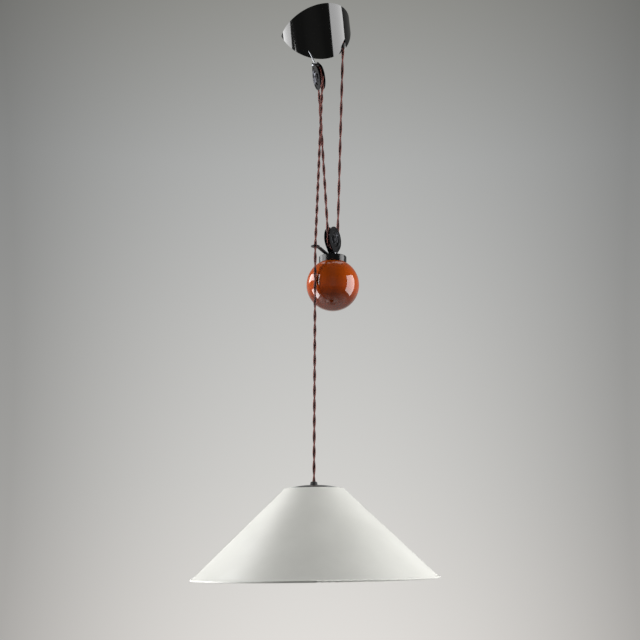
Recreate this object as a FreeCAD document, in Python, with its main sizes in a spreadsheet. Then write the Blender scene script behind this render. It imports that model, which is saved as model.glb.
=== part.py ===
"""Rise and fall pendant: a white cone shade and an amber counterweight ball on one twisted flex.

The origin is the hole in the hanger strap that the ceiling hook goes through, +Z is up, and
everything hangs below it. The canopy hangs aslant, as it does on one hook. Millimetres.
"""
import FreeCAD, Part
import Sketcher
import math
import os
from FreeCAD import Placement, Rotation, Vector

DOC = FreeCAD.newDocument("Pendant")
SHEET = DOC.addObject("Spreadsheet::Sheet", "Size")

DRIVING_SIZES = {
    # fits
    "seat_gap": (0.1, "between pieces that sit on each other"),
    "running_gap": (0.05, "radial, shaft in its hole"),
    "loose_gap": (0.4, "around the cord and beside the wheels"),
    # the cord
    "cord_diameter": (6.6, "twisted two-core flex, over both cores"),
    # canopy: a tube cut on two slants that meet in one line
    "canopy_radius": (83.1, "outside of the tube"),
    "canopy_wall": (1.5, "sheet"),
    "ceiling_cut": (42, "degrees from square, upper open cut"),
    "under_cut": (36, "degrees from square, lower closed cut"),
    "canopy_line_offset": (8.2, "line of the two cuts, from the tube's axis"),
    "canopy_yaw": (9.55, "degrees about +Z"),
    "canopy_tilt": (16.0, "degrees, right side up"),
    "canopy_nod": (6.6, "degrees, front side up"),
    "canopy_line_x": (-19.7, "middle of the cuts' line, canopy frame"),
    "canopy_line_y": (23.4, "cuts' line behind the strap's middle, canopy frame"),
    "canopy_rim_height": (3, "upper cut above the strap's middle"),
    # what is in the canopy
    "strap_width": (20, "hanger strap"),
    "strap_thickness": (2, "hanger strap"),
    "hook_hole_radius": (4, "hole for the ceiling hook"),
    "terminal_length": (30, "terminal block, along the strap"),
    "terminal_width": (16, "terminal block"),
    "terminal_height": (15, "terminal block"),
    "terminal_x": (-31, "middle of the block, canopy frame"),
    "terminal_y": (8, "middle of the block, canopy frame"),
    "terminal_screw_radius": (2, "wire screw"),
    "strap_bolt_radius": (1.5, "screw that holds the block"),
    "clip_length": (6, "along the cord"),
    "clip_wall": (1.4, "strip that the clip is bent from"),
    "bush_wall": (0.8, "of the bush in the cord's hole"),
    "bush_length": (11, "along the cord"),
    "cord_hole_turn": (31.46, "degrees round the tube from its front to the cord's hole"),
    "cord_hole_along": (-35.69, "the cord's hole, along the tube from the cuts' line"),
    # steel link between canopy and upper block
    "link_wire_radius": (1.25, "steel wire"),
    "link_hole_turn": (-28.42, "degrees round the tube from its front to the link's hole"),
    "link_hole_along": (-33.22, "the link's hole, along the tube from the cuts' line"),
    "link_knob_radius": (3, "knob on the link's upper end, inside"),
    "link_knob_reach": (16, "knob's middle, along the link from the hole"),
    # both pulley blocks
    "pitch_radius": (24, "middle of the cord on the wheel"),
    "wheel_radius": (26.2, "wheel over its flanges"),
    "wheel_width": (8.8, "wheel"),
    "wheel_web": (4.5, "wheel between its two side recesses"),
    "cheek_radius": (28, "side plate"),
    "cheek_thickness": (1.9, "side plate at its rim"),
    "cheek_dish": (1.0, "depth of the recess inside the rim"),
    "cheek_rim": (3.2, "width of the raised rim"),
    "cheek_boss_radius": (8.5, "raised middle"),
    "cheek_ear_radius": (5, "rounded end of the leaf"),
    "ear_pin_distance": (32.5, "pin in the ears, from the axle"),
    "ear_pin_radius": (2, "pin in the ears"),
    "axle_radius": (3, "wheel's pin"),
    "rivet_head": (1.4, "height of the pins' heads"),
    # where the blocks are
    "upper_x": (-14.5, "upper axle"),
    "upper_y": (-12, "upper axle"),
    "upper_z": (-139.5, "upper axle"),
    "upper_turn": (10.6, "degrees about +Z"),
    "upper_lean": (14.5, "degrees, top to the left"),
    "weight_x": (16, "axis of the counterweight"),
    "weight_y": (14, "axis of the counterweight"),
    "ball_z": (-618.4, "middle of the ball"),
    "lower_turn": (-28, "degrees about +Z"),
    # counterweight
    "ball_radius": (57.5, "glazed ball"),
    "ball_wall": (3.5, "glazed ball"),
    "ball_neck_radius": (13, "hole under the cap"),
    "ballast_top": (22, "level of the filling above the ball's middle"),
    "cap_radius": (30.2, "black cap"),
    "cap_height": (15, "black cap"),
    "cap_wall": (2.6, "black cap"),
    "cap_edge": (1.5, "rounding of the cap's top edge"),
    "bolt_radius": (3, "eye bolt"),
    "bolt_depth": (30, "eye bolt in the filling"),
    "eye_thickness": (4, "head of the eye bolt"),
    "eye_radius": (4.4, "head of the eye bolt"),
    "nut_across": (10, "hexagon nut on the bolt, across its flats"),
    "nut_height": (5, "hexagon nut on the bolt"),
    # guide arm
    "arm_width": (9, "guide arm"),
    "arm_thickness": (2, "guide arm"),
    "guide_x": (-22.1, "middle of the guide eye"),
    "guide_y": (-34, "middle of the guide eye"),
    "guide_z": (-544.5, "middle of the guide eye"),
    "guide_outer_radius": (9.5, "guide eye"),
    "guide_hole_radius": (4.6, "guide eye"),
    "arm_ramp_foot": (11, "start of the arm's ramp, in from the cap's edge"),
    # shade
    "shade_tilt": (0.85, "degrees, left side down"),
    "shade_x": (-24.4, "middle of the flat top"),
    "shade_y": (-34, "middle of the flat top"),
    "shade_z": (-1061.5, "flat top of the shade"),
    "shade_radius": (250, "shade at its rolled rim"),
    "shade_height": (180.6, "flat top to rim"),
    "shade_top_radius": (60.4, "edge of the flat top"),
    "shade_wall": (0.8, "sheet"),
    "bead_radius": (2.5, "rolled rim"),
    "disc_edge": (9.9, "flat top outside the metal disc"),
    "disc_seat": (6.5, "flat top under the metal disc"),
    "disc_wall": (1.2, "metal disc"),
    "disc_rise": (6, "dome of the disc"),
    "plate_edge": (4.4, "flat top outside the clamp plate under it"),
    "plate_wall": (1.5, "clamp plate"),
    "vent_radius": (6, "holes in the clamp plate"),
    "vent_circle": (31, "circle of the clamp plate's holes"),
    "nipple_radius": (5.5, "threaded tube"),
    "nipple_length": (34, "threaded tube"),
    "grip_radius": (8, "cord grip"),
    "grip_height": (9, "cord grip"),
    "grip_screw_radius": (1.6, "set screw in the grip"),
    "cord_play": (0.6, "around the cord in the grip and the threaded tube"),
    "holder_cap_radius": (19, "lampholder, upper shell"),
    "holder_cap_height": (20, "lampholder, upper shell"),
    "holder_radius": (21, "lampholder, sleeve"),
    "holder_height": (36, "lampholder, sleeve"),
    "holder_wall": (2, "lampholder shells"),
    "core_height": (9, "lampholder's ceramic core"),
    "screw_cap_radius": (13.2, "lamp's screw cap"),
    "screw_cap_height": (24, "lamp's screw cap"),
    "bulb_radius": (30, "lamp's glass"),
    "bulb_length": (82, "glass below the screw cap"),
    "bulb_wall": (0.8, "lamp's glass"),
    "bulb_shoulder": (60, "degrees from the axis to where the round part ends"),
}
VENT_COUNT = 6

for row, (alias, (number, words)) in enumerate(DRIVING_SIZES.items(), start=1):
    SHEET.set(f"A{row}", words)
    SHEET.set(f"B{row}", str(number))
    SHEET.setAlias(f"B{row}", alias)
DOC.recompute()


class Formula:
    """A number together with its formula in the sheet's cells."""

    def __init__(self, number, text=None):
        self.number = float(number)
        self.text = text if text else repr(float(number))

    def _with(self, other, sign, number):
        return Formula(number, f"({self.text} {sign} {other.text})")

    def __add__(self, other):
        other = formula(other)
        return self._with(other, "+", self.number + other.number)

    def __sub__(self, other):
        other = formula(other)
        return self._with(other, "-", self.number - other.number)

    def __mul__(self, other):
        other = formula(other)
        return self._with(other, "*", self.number * other.number)

    def __truediv__(self, other):
        other = formula(other)
        return self._with(other, "/", self.number / other.number)

    def __radd__(self, other):
        return formula(other) + self

    def __rsub__(self, other):
        return formula(other) - self

    def __rmul__(self, other):
        return formula(other) * self

    def __neg__(self):
        return Formula(-self.number, f"(-{self.text})")


def formula(value):
    return value if isinstance(value, Formula) else Formula(value)


def root(value):
    return Formula(math.sqrt(value.number), f"sqrt({value.text})")


def sine(angle):
    return Formula(math.sin(math.radians(angle.number)), f"sin({angle.text} * 1deg)")


def cosine(angle):
    return Formula(math.cos(math.radians(angle.number)), f"cos({angle.text} * 1deg)")


SIZE = {alias: Formula(SHEET.get(alias), f"Size.{alias}") for alias in DRIVING_SIZES}


def bind(obj, prop, value):
    """The property follows the formula."""
    obj.setExpression(prop, formula(value).text)
    return obj


def put(obj, place):
    obj.Placement = place
    return obj


# ---------------------------------------------------------------- making the pieces

def new_body(label):
    body = DOC.addObject("PartDesign::Body", label)
    body.Label = label
    return body


def origin_plane(body, role):
    return next(item for item in body.Origin.OriginFeatures if item.Role == role)


def new_sketch(body, name, role, lift=0):
    sketch = body.newObject("Sketcher::SketchObject", name)
    sketch.AttachmentSupport = (origin_plane(body, role), "")
    sketch.MapMode = "FlatFace"
    bind(sketch, "AttachmentOffset.Base.z", lift)
    return sketch


def pin_point(sketch, geometry, end, across, up):
    """Holds one end of a line or arc, or a circle's middle, at its formulas."""
    for kind, value in (("DistanceX", across), ("DistanceY", up)):
        index = sketch.addConstraint(Sketcher.Constraint(kind, -1, 1, geometry, end, value.number))
        sketch.setExpression(f"Constraints[{index}]", value.text)


def outline(body, name, role, points, arcs=None, lift=0):
    """A closed outline. arcs gives the radius of the side that starts at a point: more than
    nought where the arc turns left on its way, less where it turns right."""
    sketch = new_sketch(body, name, role, lift)
    points = [(formula(across), formula(up)) for across, up in points]
    arcs = {index: formula(radius) for index, radius in (arcs or {}).items()}
    ends = []
    for index, (across, up) in enumerate(points):
        start = Vector(across.number, up.number)
        following = points[(index + 1) % len(points)]
        stop = Vector(following[0].number, following[1].number)
        if index not in arcs:
            side = sketch.addGeometry(Part.LineSegment(start, stop), False)
            ends.append((side, 1, 2))
            continue
        radius = arcs[index].number
        chord = stop - start
        rise = math.sqrt(max(radius * radius - chord.Length ** 2 / 4, 0))
        left = Vector(-chord.y, chord.x) / chord.Length
        middle = (start + stop) / 2 + left * math.copysign(rise, radius)
        first, last = (start, stop) if radius > 0 else (stop, start)
        angles = [math.atan2(end.y - middle.y, end.x - middle.x) for end in (first, last)]
        circle = Part.Circle(middle, Vector(0, 0, 1), abs(radius))
        side = sketch.addGeometry(Part.ArcOfCircle(circle, angles[0], angles[1]), False)
        ends.append((side, 1, 2) if radius > 0 else (side, 2, 1))
        held = sketch.addConstraint(Sketcher.Constraint("Radius", side, abs(radius)))
        size = arcs[index] if radius > 0 else -arcs[index]
        sketch.setExpression(f"Constraints[{held}]", size.text)
    for index, (side, begin, finish) in enumerate(ends):
        follower = ends[(index + 1) % len(ends)]
        sketch.addConstraint(Sketcher.Constraint("Coincident", side, finish, follower[0], follower[1]))
        pin_point(sketch, side, begin, *points[index])
    return sketch


def circles(body, name, role, rounds, lift=0):
    """A sketch of circles, each (across, up, radius)."""
    sketch = new_sketch(body, name, role, lift)
    for across, up, radius in rounds:
        across, up, radius = formula(across), formula(up), formula(radius)
        circle = Part.Circle(Vector(across.number, up.number), Vector(0, 0, 1), radius.number)
        index = sketch.addGeometry(circle, False)
        pin_point(sketch, index, 3, across, up)
        held = sketch.addConstraint(Sketcher.Constraint("Radius", index, radius.number))
        sketch.setExpression(f"Constraints[{held}]", radius.text)
    return sketch


def pad(body, sketch, length, midplane=False, reverse=False):
    feature = body.newObject("PartDesign::Pad", sketch.Name + "_pad")
    feature.Profile = sketch
    feature.SideType = "Symmetric" if midplane else "One side"
    feature.Reversed = reverse
    sketch.Visibility = False
    return bind(feature, "Length", length)


def pocket(body, sketch, length, reverse=False, midplane=False):
    feature = body.newObject("PartDesign::Pocket", sketch.Name + "_cut")
    feature.Profile = sketch
    feature.SideType = "Symmetric" if midplane else "One side"
    feature.Reversed = reverse
    return bind(feature, "Length", length)


def turn(body, sketch, kind="Revolution"):
    """The sketch turned once about the body's own Z axis."""
    feature = body.newObject("PartDesign::" + kind, sketch.Name + "_turn")
    feature.Profile = sketch
    feature.ReferenceAxis = (sketch, ["V_Axis"])
    feature.Angle = 360
    return feature


def turned(label, points, arcs=None, place=None):
    """A piece turned on a lathe: points are (radius, height)."""
    body = new_body(label)
    turn(body, outline(body, label + "_profile", "XZ_Plane", points, arcs))
    return put(body, place) if place else body


def ring(label, inner, outer, low, high, place=None):
    return turned(label, [(inner, low), (outer, low), (outer, high), (inner, high)], place=place)


def solid(kind, name, place=None, **sizes):
    """A Part primitive, its sizes bound to their formulas."""
    piece = DOC.addObject("Part::" + kind, name)
    for prop, value in sizes.items():
        bind(piece, prop, value)
    return put(piece, place) if place else piece


def cut(name, base, *tools):
    for number, tool in enumerate(tools):
        piece = DOC.addObject("Part::Cut", f"{name}_{number}")
        piece.Base = base
        piece.Tool = tool
        base = piece
    base.Label = name
    return base


def join(kind, name, *pieces):
    piece = DOC.addObject("Part::" + kind, name)
    piece.Shapes = list(pieces)
    piece.Label = name
    return piece


def at(x, y, z, turning=None):
    point = Vector(formula(x).number, formula(y).number, formula(z).number)
    return Placement(point, turning or Rotation())


def along(start, way, name, radius, length):
    """A round bar from a point along a direction."""
    place = Placement(start, Rotation(Vector(0, 0, 1), way))
    return solid("Cylinder", name, place, Radius=radius, Height=length)


# ---------------------------------------------------------------- places

CANOPY = Placement(Vector(), Rotation(SIZE["canopy_yaw"].number, -SIZE["canopy_tilt"].number,
                                      -SIZE["canopy_nod"].number))
UP = Vector(0, 0, 1)


def block_place(x, y, z, turning, lean, ear_up):
    """A block's own frame: Z along the axle, Y towards the ears."""
    tipped = Rotation(Vector(0, 1, 0), -formula(lean).number)
    level = tipped.multiply(Rotation(UP, formula(turning).number))
    axle = level.multVec(Vector(1, 0, 0))
    ear = level.multVec(UP) if ear_up else level.multVec(-UP)
    middle = Vector(x.number, y.number, z.number)
    return Placement(middle, Rotation(ear.cross(axle), ear, axle, "ZYX")), level


LINE = Vector(SIZE["canopy_line_x"].number, SIZE["canopy_line_y"].number,
              SIZE["canopy_rim_height"].number)
CUT = math.radians(SIZE["ceiling_cut"].number)
TUBE_BACK = Vector(0, math.cos(CUT), math.sin(CUT))
TUBE_AXIS = Vector(0, -math.sin(CUT), math.cos(CUT))


def on_wall(turning, distance):
    """The middle of the canopy tube's wall, round from the tube's front and along its axis."""
    angle = math.radians(turning.number)
    radius = (SIZE["canopy_radius"] - SIZE["canopy_wall"] / 2).number
    foot = LINE + TUBE_BACK * SIZE["canopy_line_offset"].number + TUBE_AXIS * distance.number
    return CANOPY.multVec(foot + (Vector(math.sin(angle), 0, 0) - TUBE_BACK * math.cos(angle)) * radius)


CAP_SEAT = SIZE["ball_radius"] + SIZE["seat_gap"]
CAP_FOOT = root(CAP_SEAT * CAP_SEAT - SIZE["cap_radius"] * SIZE["cap_radius"])
CAP_TOP = SIZE["ball_z"] + CAP_FOOT + SIZE["cap_height"]
EAR_END = SIZE["ear_pin_distance"] + SIZE["cheek_ear_radius"]
LOWER_Z = CAP_TOP + SIZE["arm_thickness"] + SIZE["loose_gap"] + EAR_END
UPPER, UPPER_LEVEL = block_place(SIZE["upper_x"], SIZE["upper_y"], SIZE["upper_z"],
                                 SIZE["upper_turn"], SIZE["upper_lean"], True)
LOWER, LOWER_LEVEL = block_place(SIZE["weight_x"], SIZE["weight_y"], LOWER_Z,
                                 SIZE["lower_turn"], 0, False)
WEIGHT = at(SIZE["weight_x"], SIZE["weight_y"], SIZE["ball_z"])
SHADE = at(SIZE["shade_x"], SIZE["shade_y"], SIZE["shade_z"],
           Rotation(Vector(0, 1, 0), -SIZE["shade_tilt"].number))
CORD_RADIUS = SIZE["cord_diameter"] / 2
CORD_HOLE = on_wall(SIZE["cord_hole_turn"], SIZE["cord_hole_along"])
LINK_HOLE = on_wall(SIZE["link_hole_turn"], SIZE["link_hole_along"])
GUIDE = Vector(*(SIZE["guide_" + axis].number for axis in "xyz"))
DISC_RADIUS = SIZE["shade_top_radius"] - SIZE["disc_edge"]
PLATE_RADIUS = SIZE["shade_top_radius"] - SIZE["plate_edge"]
BLOCK_GAP = SIZE["wheel_width"] + SIZE["loose_gap"] * 2
GROOVE = CORD_RADIUS + SIZE["loose_gap"]
WHEEL_RECESS = SIZE["pitch_radius"] - GROOVE - SIZE["cheek_dish"] * 2


# ---------------------------------------------------------------- the cord's route

STUB = 16   # the cord runs on in the wheel's plane this far before it leaves the block


def wheel_turn(block, level, over):
    """The cord's points round half a wheel: one off each side of it, and four corners between."""
    pitch = SIZE["pitch_radius"].number
    near = level.multVec(Vector(0, -1, 0))
    away = level.multVec(UP) * (1 if over else -1)
    stub = away * -STUB
    eighth = math.pi / 8
    corners = [(near * math.cos(angle) + away * math.sin(angle)) * (pitch / math.cos(eighth))
               for angle in (eighth, eighth * 3, eighth * 5, eighth * 7)]
    return [block.Base + offset for offset in (near * pitch + stub, *corners, near * -pitch + stub)]


def in_canopy(x, y, z):
    return CANOPY.multVec(Vector(x, y, z))


ROUTE = {
    "shade": SHADE.Base - (GUIDE - SHADE.Base).normalize() * 18,
    "guide": GUIDE,
}
CORNERS = {block: [f"{block}_corner_{number}" for number in range(1, 5)] for block in ("upper", "lower")}
ROUTE.update(zip(("upper_near", *CORNERS["upper"], "upper_far"), wheel_turn(UPPER, UPPER_LEVEL, True)))
ROUTE.update(zip(("lower_near", *CORNERS["lower"], "lower_far"), wheel_turn(LOWER, LOWER_LEVEL, False)))
ROUTE["tail_turn"] = CORD_HOLE + (CORD_HOLE - ROUTE["lower_far"]).normalize() * 36
ROUTE["tail_strap"] = in_canopy(8, 12, -12)
ROUTE["tail_end"] = in_canopy(-16, 12, -12)

ORDER = list(ROUTE)


class Bend:
    """The arc that takes a corner of the route, tangent to both runs."""

    def __init__(self, before, here, after, radius=None, room=None):
        come, leave = (before - here).normalize(), (after - here).normalize()
        half_turn = (math.pi - come.getAngle(leave)) / 2
        if radius is None:
            radius = 0.45 * room / math.tan(half_turn)
        self.reach = reach = radius * math.tan(half_turn)
        towards = (come + leave).normalize()
        self.radius, self.turn = radius, 2 * half_turn
        self.start, self.stop = here + come * reach, here + leave * reach
        self.middle = here + towards * (radius / math.cos(half_turn) - radius)


def make_bends():
    """The arcs round the wheels and at the guide eye, then the others in the room they leave."""
    fixed = {name: SIZE["pitch_radius"].number for name in CORNERS["upper"] + CORNERS["lower"]}
    fixed["guide"] = SIZE["guide_outer_radius"].number * 4
    threes = list(zip(ORDER, ORDER[1:], ORDER[2:]))
    bends = {here: Bend(ROUTE[before], ROUTE[here], ROUTE[after], radius=fixed[here])
             for before, here, after in threes if here in fixed}
    for before, here, after in threes:
        if here in fixed:
            continue
        free = [(ROUTE[here] - ROUTE[name]).Length - (bends[name].reach if name in fixed else 0)
                for name in (before, after)]
        bends[here] = Bend(ROUTE[before], ROUTE[here], ROUTE[after], room=min(free))
    return bends


BENDS = make_bends()
for name, bend in BENDS.items():
    print(f"cord arc at {name}: radius {bend.radius:.1f}, turn {math.degrees(bend.turn):.1f} degrees")


def cord(label, start, corners, stop):
    """A stretch of the cord from one place to another through the named corners."""
    edges = []
    reached = start
    for name in corners:
        bend = BENDS[name]
        if (bend.start - reached).Length > 0.01:
            edges.append(Part.LineSegment(reached, bend.start).toShape())
        edges.append(Part.Arc(bend.start, bend.middle, bend.stop).toShape())
        reached = bend.stop
    if (stop - reached).Length > 0.01:
        edges.append(Part.LineSegment(reached, stop).toShape())
    path = Part.Wire(edges)
    way = edges[0].tangentAt(edges[0].FirstParameter)
    mouth = Part.Wire(Part.Circle(start, way, CORD_RADIUS.number).toShape())
    tube = Part.Solid(path.makePipeShell([mouth], True, True))
    expected = math.pi * CORD_RADIUS.number ** 2 * path.Length
    print(f"{label}: length {path.Length:.1f}, volume / expected {tube.Volume / expected:.4f}")
    piece = DOC.addObject("Part::Feature", label)
    piece.Shape = tube
    return piece


# ---------------------------------------------------------------- canopy

def canopy_wedge(name, inset, lip):
    """The space between the two cuts: inset moves the lower cut in, lip lifts the upper one."""
    reach = SIZE["canopy_radius"] * 3
    wedge = SIZE["ceiling_cut"] + SIZE["under_cut"]
    lean = cosine(wedge) / sine(wedge)
    near = -inset / sine(wedge)
    body = new_body(name)
    shape = outline(body, name + "_side", "YZ_Plane",
                    [(near + lip * lean, lip), (near - reach * lean, -reach),
                     (-reach * 2, -reach), (-reach * 2, lip)])
    pad(body, shape, reach, midplane=True)
    return put(body, CANOPY.multiply(Placement(LINE, Rotation())))


def canopy_tube(name, radius):
    """A long round bar on the canopy tube's axis."""
    foot = LINE + TUBE_BACK * SIZE["canopy_line_offset"].number - TUBE_AXIS * SIZE["canopy_radius"].number * 3
    place = CANOPY.multiply(Placement(foot, Rotation(UP, TUBE_AXIS)))
    return solid("Cylinder", name, place, Radius=radius, Height=SIZE["canopy_radius"] * 6)


def make_canopy():
    outer_wedge = canopy_wedge("outer_wedge", formula(0), formula(0))
    inner_wedge = canopy_wedge("inner_wedge", SIZE["canopy_wall"], SIZE["canopy_rim_height"] * 2)
    outer = join("MultiCommon", "canopy_outside", outer_wedge,
                 canopy_tube("outer_tube", SIZE["canopy_radius"]))
    inner = join("MultiCommon", "canopy_inside", inner_wedge,
                 canopy_tube("inner_tube", SIZE["canopy_radius"] - SIZE["canopy_wall"]))
    cord_way = (CORD_HOLE - BENDS["lower_far"].stop).normalize()
    bush_radius = CORD_RADIUS + SIZE["loose_gap"] + SIZE["bush_wall"]
    reach = SIZE["canopy_radius"] * 0.4   # past the wall both ways, which the cord crosses at a slant
    cord_hole = along(CORD_HOLE - cord_way * reach.number, cord_way, "cord_hole",
                      bush_radius + SIZE["running_gap"], reach * 2)
    ring_top, link_way = link_line()
    link_hole = along(LINK_HOLE - link_way * (reach / 2).number, link_way, "link_hole",
                      SIZE["link_wire_radius"] + SIZE["seat_gap"], reach)
    shell = cut("canopy_shell", outer, inner, cord_hole, link_hole)

    bush_start = CORD_HOLE - cord_way * (SIZE["bush_length"] / 2).number
    sleeve = along(bush_start, cord_way, "bush_sleeve", bush_radius, SIZE["bush_length"])
    bore = along(bush_start, cord_way, "bush_bore", CORD_RADIUS + SIZE["loose_gap"], SIZE["bush_length"])
    bush = cut("cord_bush", sleeve, bore)
    return [shell, bush, *make_strap(inner)]


def make_strap(inside):
    """The hanger strap, cut to the canopy's inside, with what is screwed under it."""
    thickness = SIZE["strap_thickness"]
    reach = SIZE["canopy_radius"] * 2
    low = -thickness / 2
    bar = solid("Box", "strap_bar", CANOPY.multiply(at(-reach, -SIZE["strap_width"] / 2, low)),
                Length=reach * 2, Width=SIZE["strap_width"], Height=thickness)
    fitted = join("MultiCommon", "strap_fitted", bar, inside)
    hook_hole = solid("Cylinder", "hook_hole", CANOPY.multiply(at(0, 0, -thickness)),
                      Radius=SIZE["hook_hole_radius"], Height=thickness * 2)
    bolt_place = CANOPY.multiply(at(SIZE["terminal_x"], SIZE["terminal_y"] / 2, 0))
    bolt_hole = solid("Cylinder", "bolt_hole", bolt_place.multiply(at(0, 0, -thickness)),
                      Radius=SIZE["strap_bolt_radius"] + SIZE["running_gap"], Height=thickness * 2)
    strap = cut("hanger_strap", fitted, hook_hole, bolt_hole)

    underside = low - SIZE["seat_gap"]
    half_long, half_wide = SIZE["terminal_length"] / 2, SIZE["terminal_width"] / 2
    block = new_body("terminal_block")
    foot = outline(block, "terminal_foot", "XY_Plane",
                   [(-half_long, -half_wide), (half_long, -half_wide),
                    (half_long, half_wide), (-half_long, half_wide)])
    pad(block, foot, SIZE["terminal_height"], reverse=True)
    step = SIZE["terminal_length"] / 4
    rounds = [(step * side, half_wide / 2 * row) for side in (-1, 1) for row in (-1, 1)]
    well = SIZE["terminal_screw_radius"] + SIZE["seat_gap"]
    wells = circles(block, "screw_wells", "XY_Plane", [(x, y, well) for x, y in rounds],
                    lift=-SIZE["terminal_height"])
    well_depth = SIZE["terminal_height"] / 3
    pocket(block, wells, well_depth, reverse=True)
    bolt_well = circles(block, "bolt_well", "XY_Plane",
                        [(0, -SIZE["terminal_y"] / 2, SIZE["strap_bolt_radius"] + SIZE["running_gap"])])
    pocket(block, bolt_well, SIZE["terminal_height"] * 2 / 3)
    block_place = CANOPY.multiply(at(SIZE["terminal_x"], SIZE["terminal_y"], underside))
    put(block, block_place)

    screws = []
    for number, (x, y) in enumerate(rounds):
        low_end = at(x, y, well_depth - SIZE["terminal_height"] - SIZE["terminal_screw_radius"] * 2)
        place = block_place.multiply(low_end)
        shank = solid("Cylinder", f"wire_screw_{number}", place,
                      Radius=SIZE["terminal_screw_radius"], Height=SIZE["terminal_screw_radius"] * 2)
        slot_place = place.multiply(at(-SIZE["terminal_screw_radius"], -0.4, 0))
        slot = solid("Box", f"wire_slot_{number}", slot_place,
                     Length=SIZE["terminal_screw_radius"] * 2, Width=0.8, Height=0.8)
        screws.append(cut(f"terminal_screw_{number}", shank, slot))
    screw_group = DOC.addObject("Part::Compound", "terminal_screws")
    screw_group.Links = screws

    head = solid("Cylinder", "bolt_head", bolt_place.multiply(at(0, 0, thickness / 2 + SIZE["seat_gap"])),
                 Radius=SIZE["strap_bolt_radius"] * 2, Height=SIZE["strap_bolt_radius"])
    shank_length = SIZE["terminal_height"] / 2 + thickness
    shank = solid("Cylinder", "bolt_shank",
                  bolt_place.multiply(at(0, 0, thickness - shank_length)),
                  Radius=SIZE["strap_bolt_radius"], Height=shank_length)
    bolt = join("MultiFuse", "strap_bolt", head, shank)

    bend = BENDS["tail_strap"]
    way = (ROUTE["tail_end"] - bend.stop).normalize()
    middle = bend.stop + way * (SIZE["clip_length"].number / 2 + 2)
    start = middle - way * (SIZE["clip_length"].number / 2)
    inner_radius = CORD_RADIUS + SIZE["running_gap"]
    eye = along(start, way, "clip_eye", inner_radius + SIZE["clip_wall"], SIZE["clip_length"])
    bore = along(start - way, way, "clip_bore", inner_radius, SIZE["clip_length"] + 2)
    local = CANOPY.inverse().multVec(middle)
    drop = formula(-local.z) + underside
    tab_place = CANOPY.multiply(at(local.x - SIZE["clip_length"].number / 2,
                                   SIZE["strap_width"] / 2 - SIZE["clip_wall"] * 2, local.z))
    tab = solid("Box", "clip_tab", tab_place, Length=SIZE["clip_length"],
                Width=SIZE["clip_wall"] * 2, Height=drop)
    clip = cut("cord_clip", join("MultiFuse", "clip_blank", eye, tab), bore)
    return [strap, block, screw_group, bolt, clip]


def link_line():
    """Where the link's wire leaves its ring, and the way it runs."""
    ring_radius = SIZE["ear_pin_radius"] + SIZE["running_gap"] * 4 + SIZE["link_wire_radius"]
    top = UPPER.multVec(Vector(0, (SIZE["ear_pin_distance"] + ring_radius).number, 0))
    return top, (LINK_HOLE - top).normalize()


def make_link():
    """The steel link: a ring round the block's pin, a wire, and a knob inside the canopy."""
    ring_radius = SIZE["ear_pin_radius"] + SIZE["running_gap"] * 4 + SIZE["link_wire_radius"]
    top, way = link_line()
    pin = UPPER.multiply(at(0, SIZE["ear_pin_distance"], 0))
    eye = solid("Torus", "link_ring", pin, Radius1=ring_radius, Radius2=SIZE["link_wire_radius"])
    length = (LINK_HOLE - top).Length + SIZE["link_knob_reach"]
    wire = along(top, way, "link_wire", SIZE["link_wire_radius"] * 0.96, length)
    knob_middle = LINK_HOLE + way * SIZE["link_knob_reach"].number
    knob = solid("Sphere", "link_knob", Placement(knob_middle, Rotation(UP, way)),
                 Radius=SIZE["link_knob_radius"])
    return join("MultiFuse", "pulley_link", eye, wire, knob)


# ---------------------------------------------------------------- pulley blocks

def make_cheek(label, place):
    """A leaf-shaped pressed side plate, its outside face up. A raised rim and a raised middle
    stand round a ring that is pressed in towards the recess of the wheel."""
    big, small = SIZE["cheek_radius"], SIZE["cheek_ear_radius"]
    far = SIZE["ear_pin_distance"]
    rise = (big - small) / far
    spread = root(1 - rise * rise)
    body = new_body(label)
    pad(body, circles(body, label + "_disc", "XY_Plane", [(0, 0, big)]), SIZE["cheek_thickness"])
    pad(body, circles(body, label + "_ear", "XY_Plane", [(0, far, small)]), SIZE["cheek_thickness"])
    leaf = outline(body, label + "_leaf", "XY_Plane",
                   [(-big * spread, big * rise), (big * spread, big * rise),
                    (small * spread, far + small * rise), (-small * spread, far + small * rise)])
    pad(body, leaf, SIZE["cheek_thickness"])
    top, dish, boss = SIZE["cheek_thickness"], SIZE["cheek_dish"], SIZE["cheek_boss_radius"]
    sheet = top - dish
    deep = (SIZE["wheel_width"] - SIZE["wheel_web"]) / 2 - SIZE["loose_gap"]
    near, wide = boss + SIZE["loose_gap"], WHEEL_RECESS - SIZE["loose_gap"] * 2
    turn(body, outline(body, label + "_pressed", "XZ_Plane",
                       [(near, -deep), (wide, -deep), (wide, sheet / 2), (near, sheet / 2)]))
    slope = dish * 2
    turn(body, outline(body, label + "_recess", "XZ_Plane",
                       [(big - SIZE["cheek_rim"], top), (boss, top), (boss + slope, sheet - deep),
                        (wide - slope, sheet - deep), (wide, sheet),
                        (big - SIZE["cheek_rim"] - dish, sheet)]), "Groove")
    holes = circles(body, label + "_holes", "XY_Plane",
                    [(0, 0, SIZE["axle_radius"] + SIZE["running_gap"]),
                     (0, far, SIZE["ear_pin_radius"] + SIZE["running_gap"])], lift=top)
    pocket(body, holes, top * 2)
    return put(body, place)


def make_pin(label, radius, place):
    """A riveted pin across the block, a domed head at each end."""
    half = BLOCK_GAP / 2 + SIZE["cheek_thickness"] + SIZE["seat_gap"]
    head = SIZE["rivet_head"]
    wide = radius * 1.6
    dome = (wide * wide + head * head) / (head * 2)
    return turned(label, [(0, -half - head), (wide, -half), (radius, -half), (radius, half),
                          (wide, half), (0, half + head)], arcs={0: dome, 4: dome}, place=place)


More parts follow.
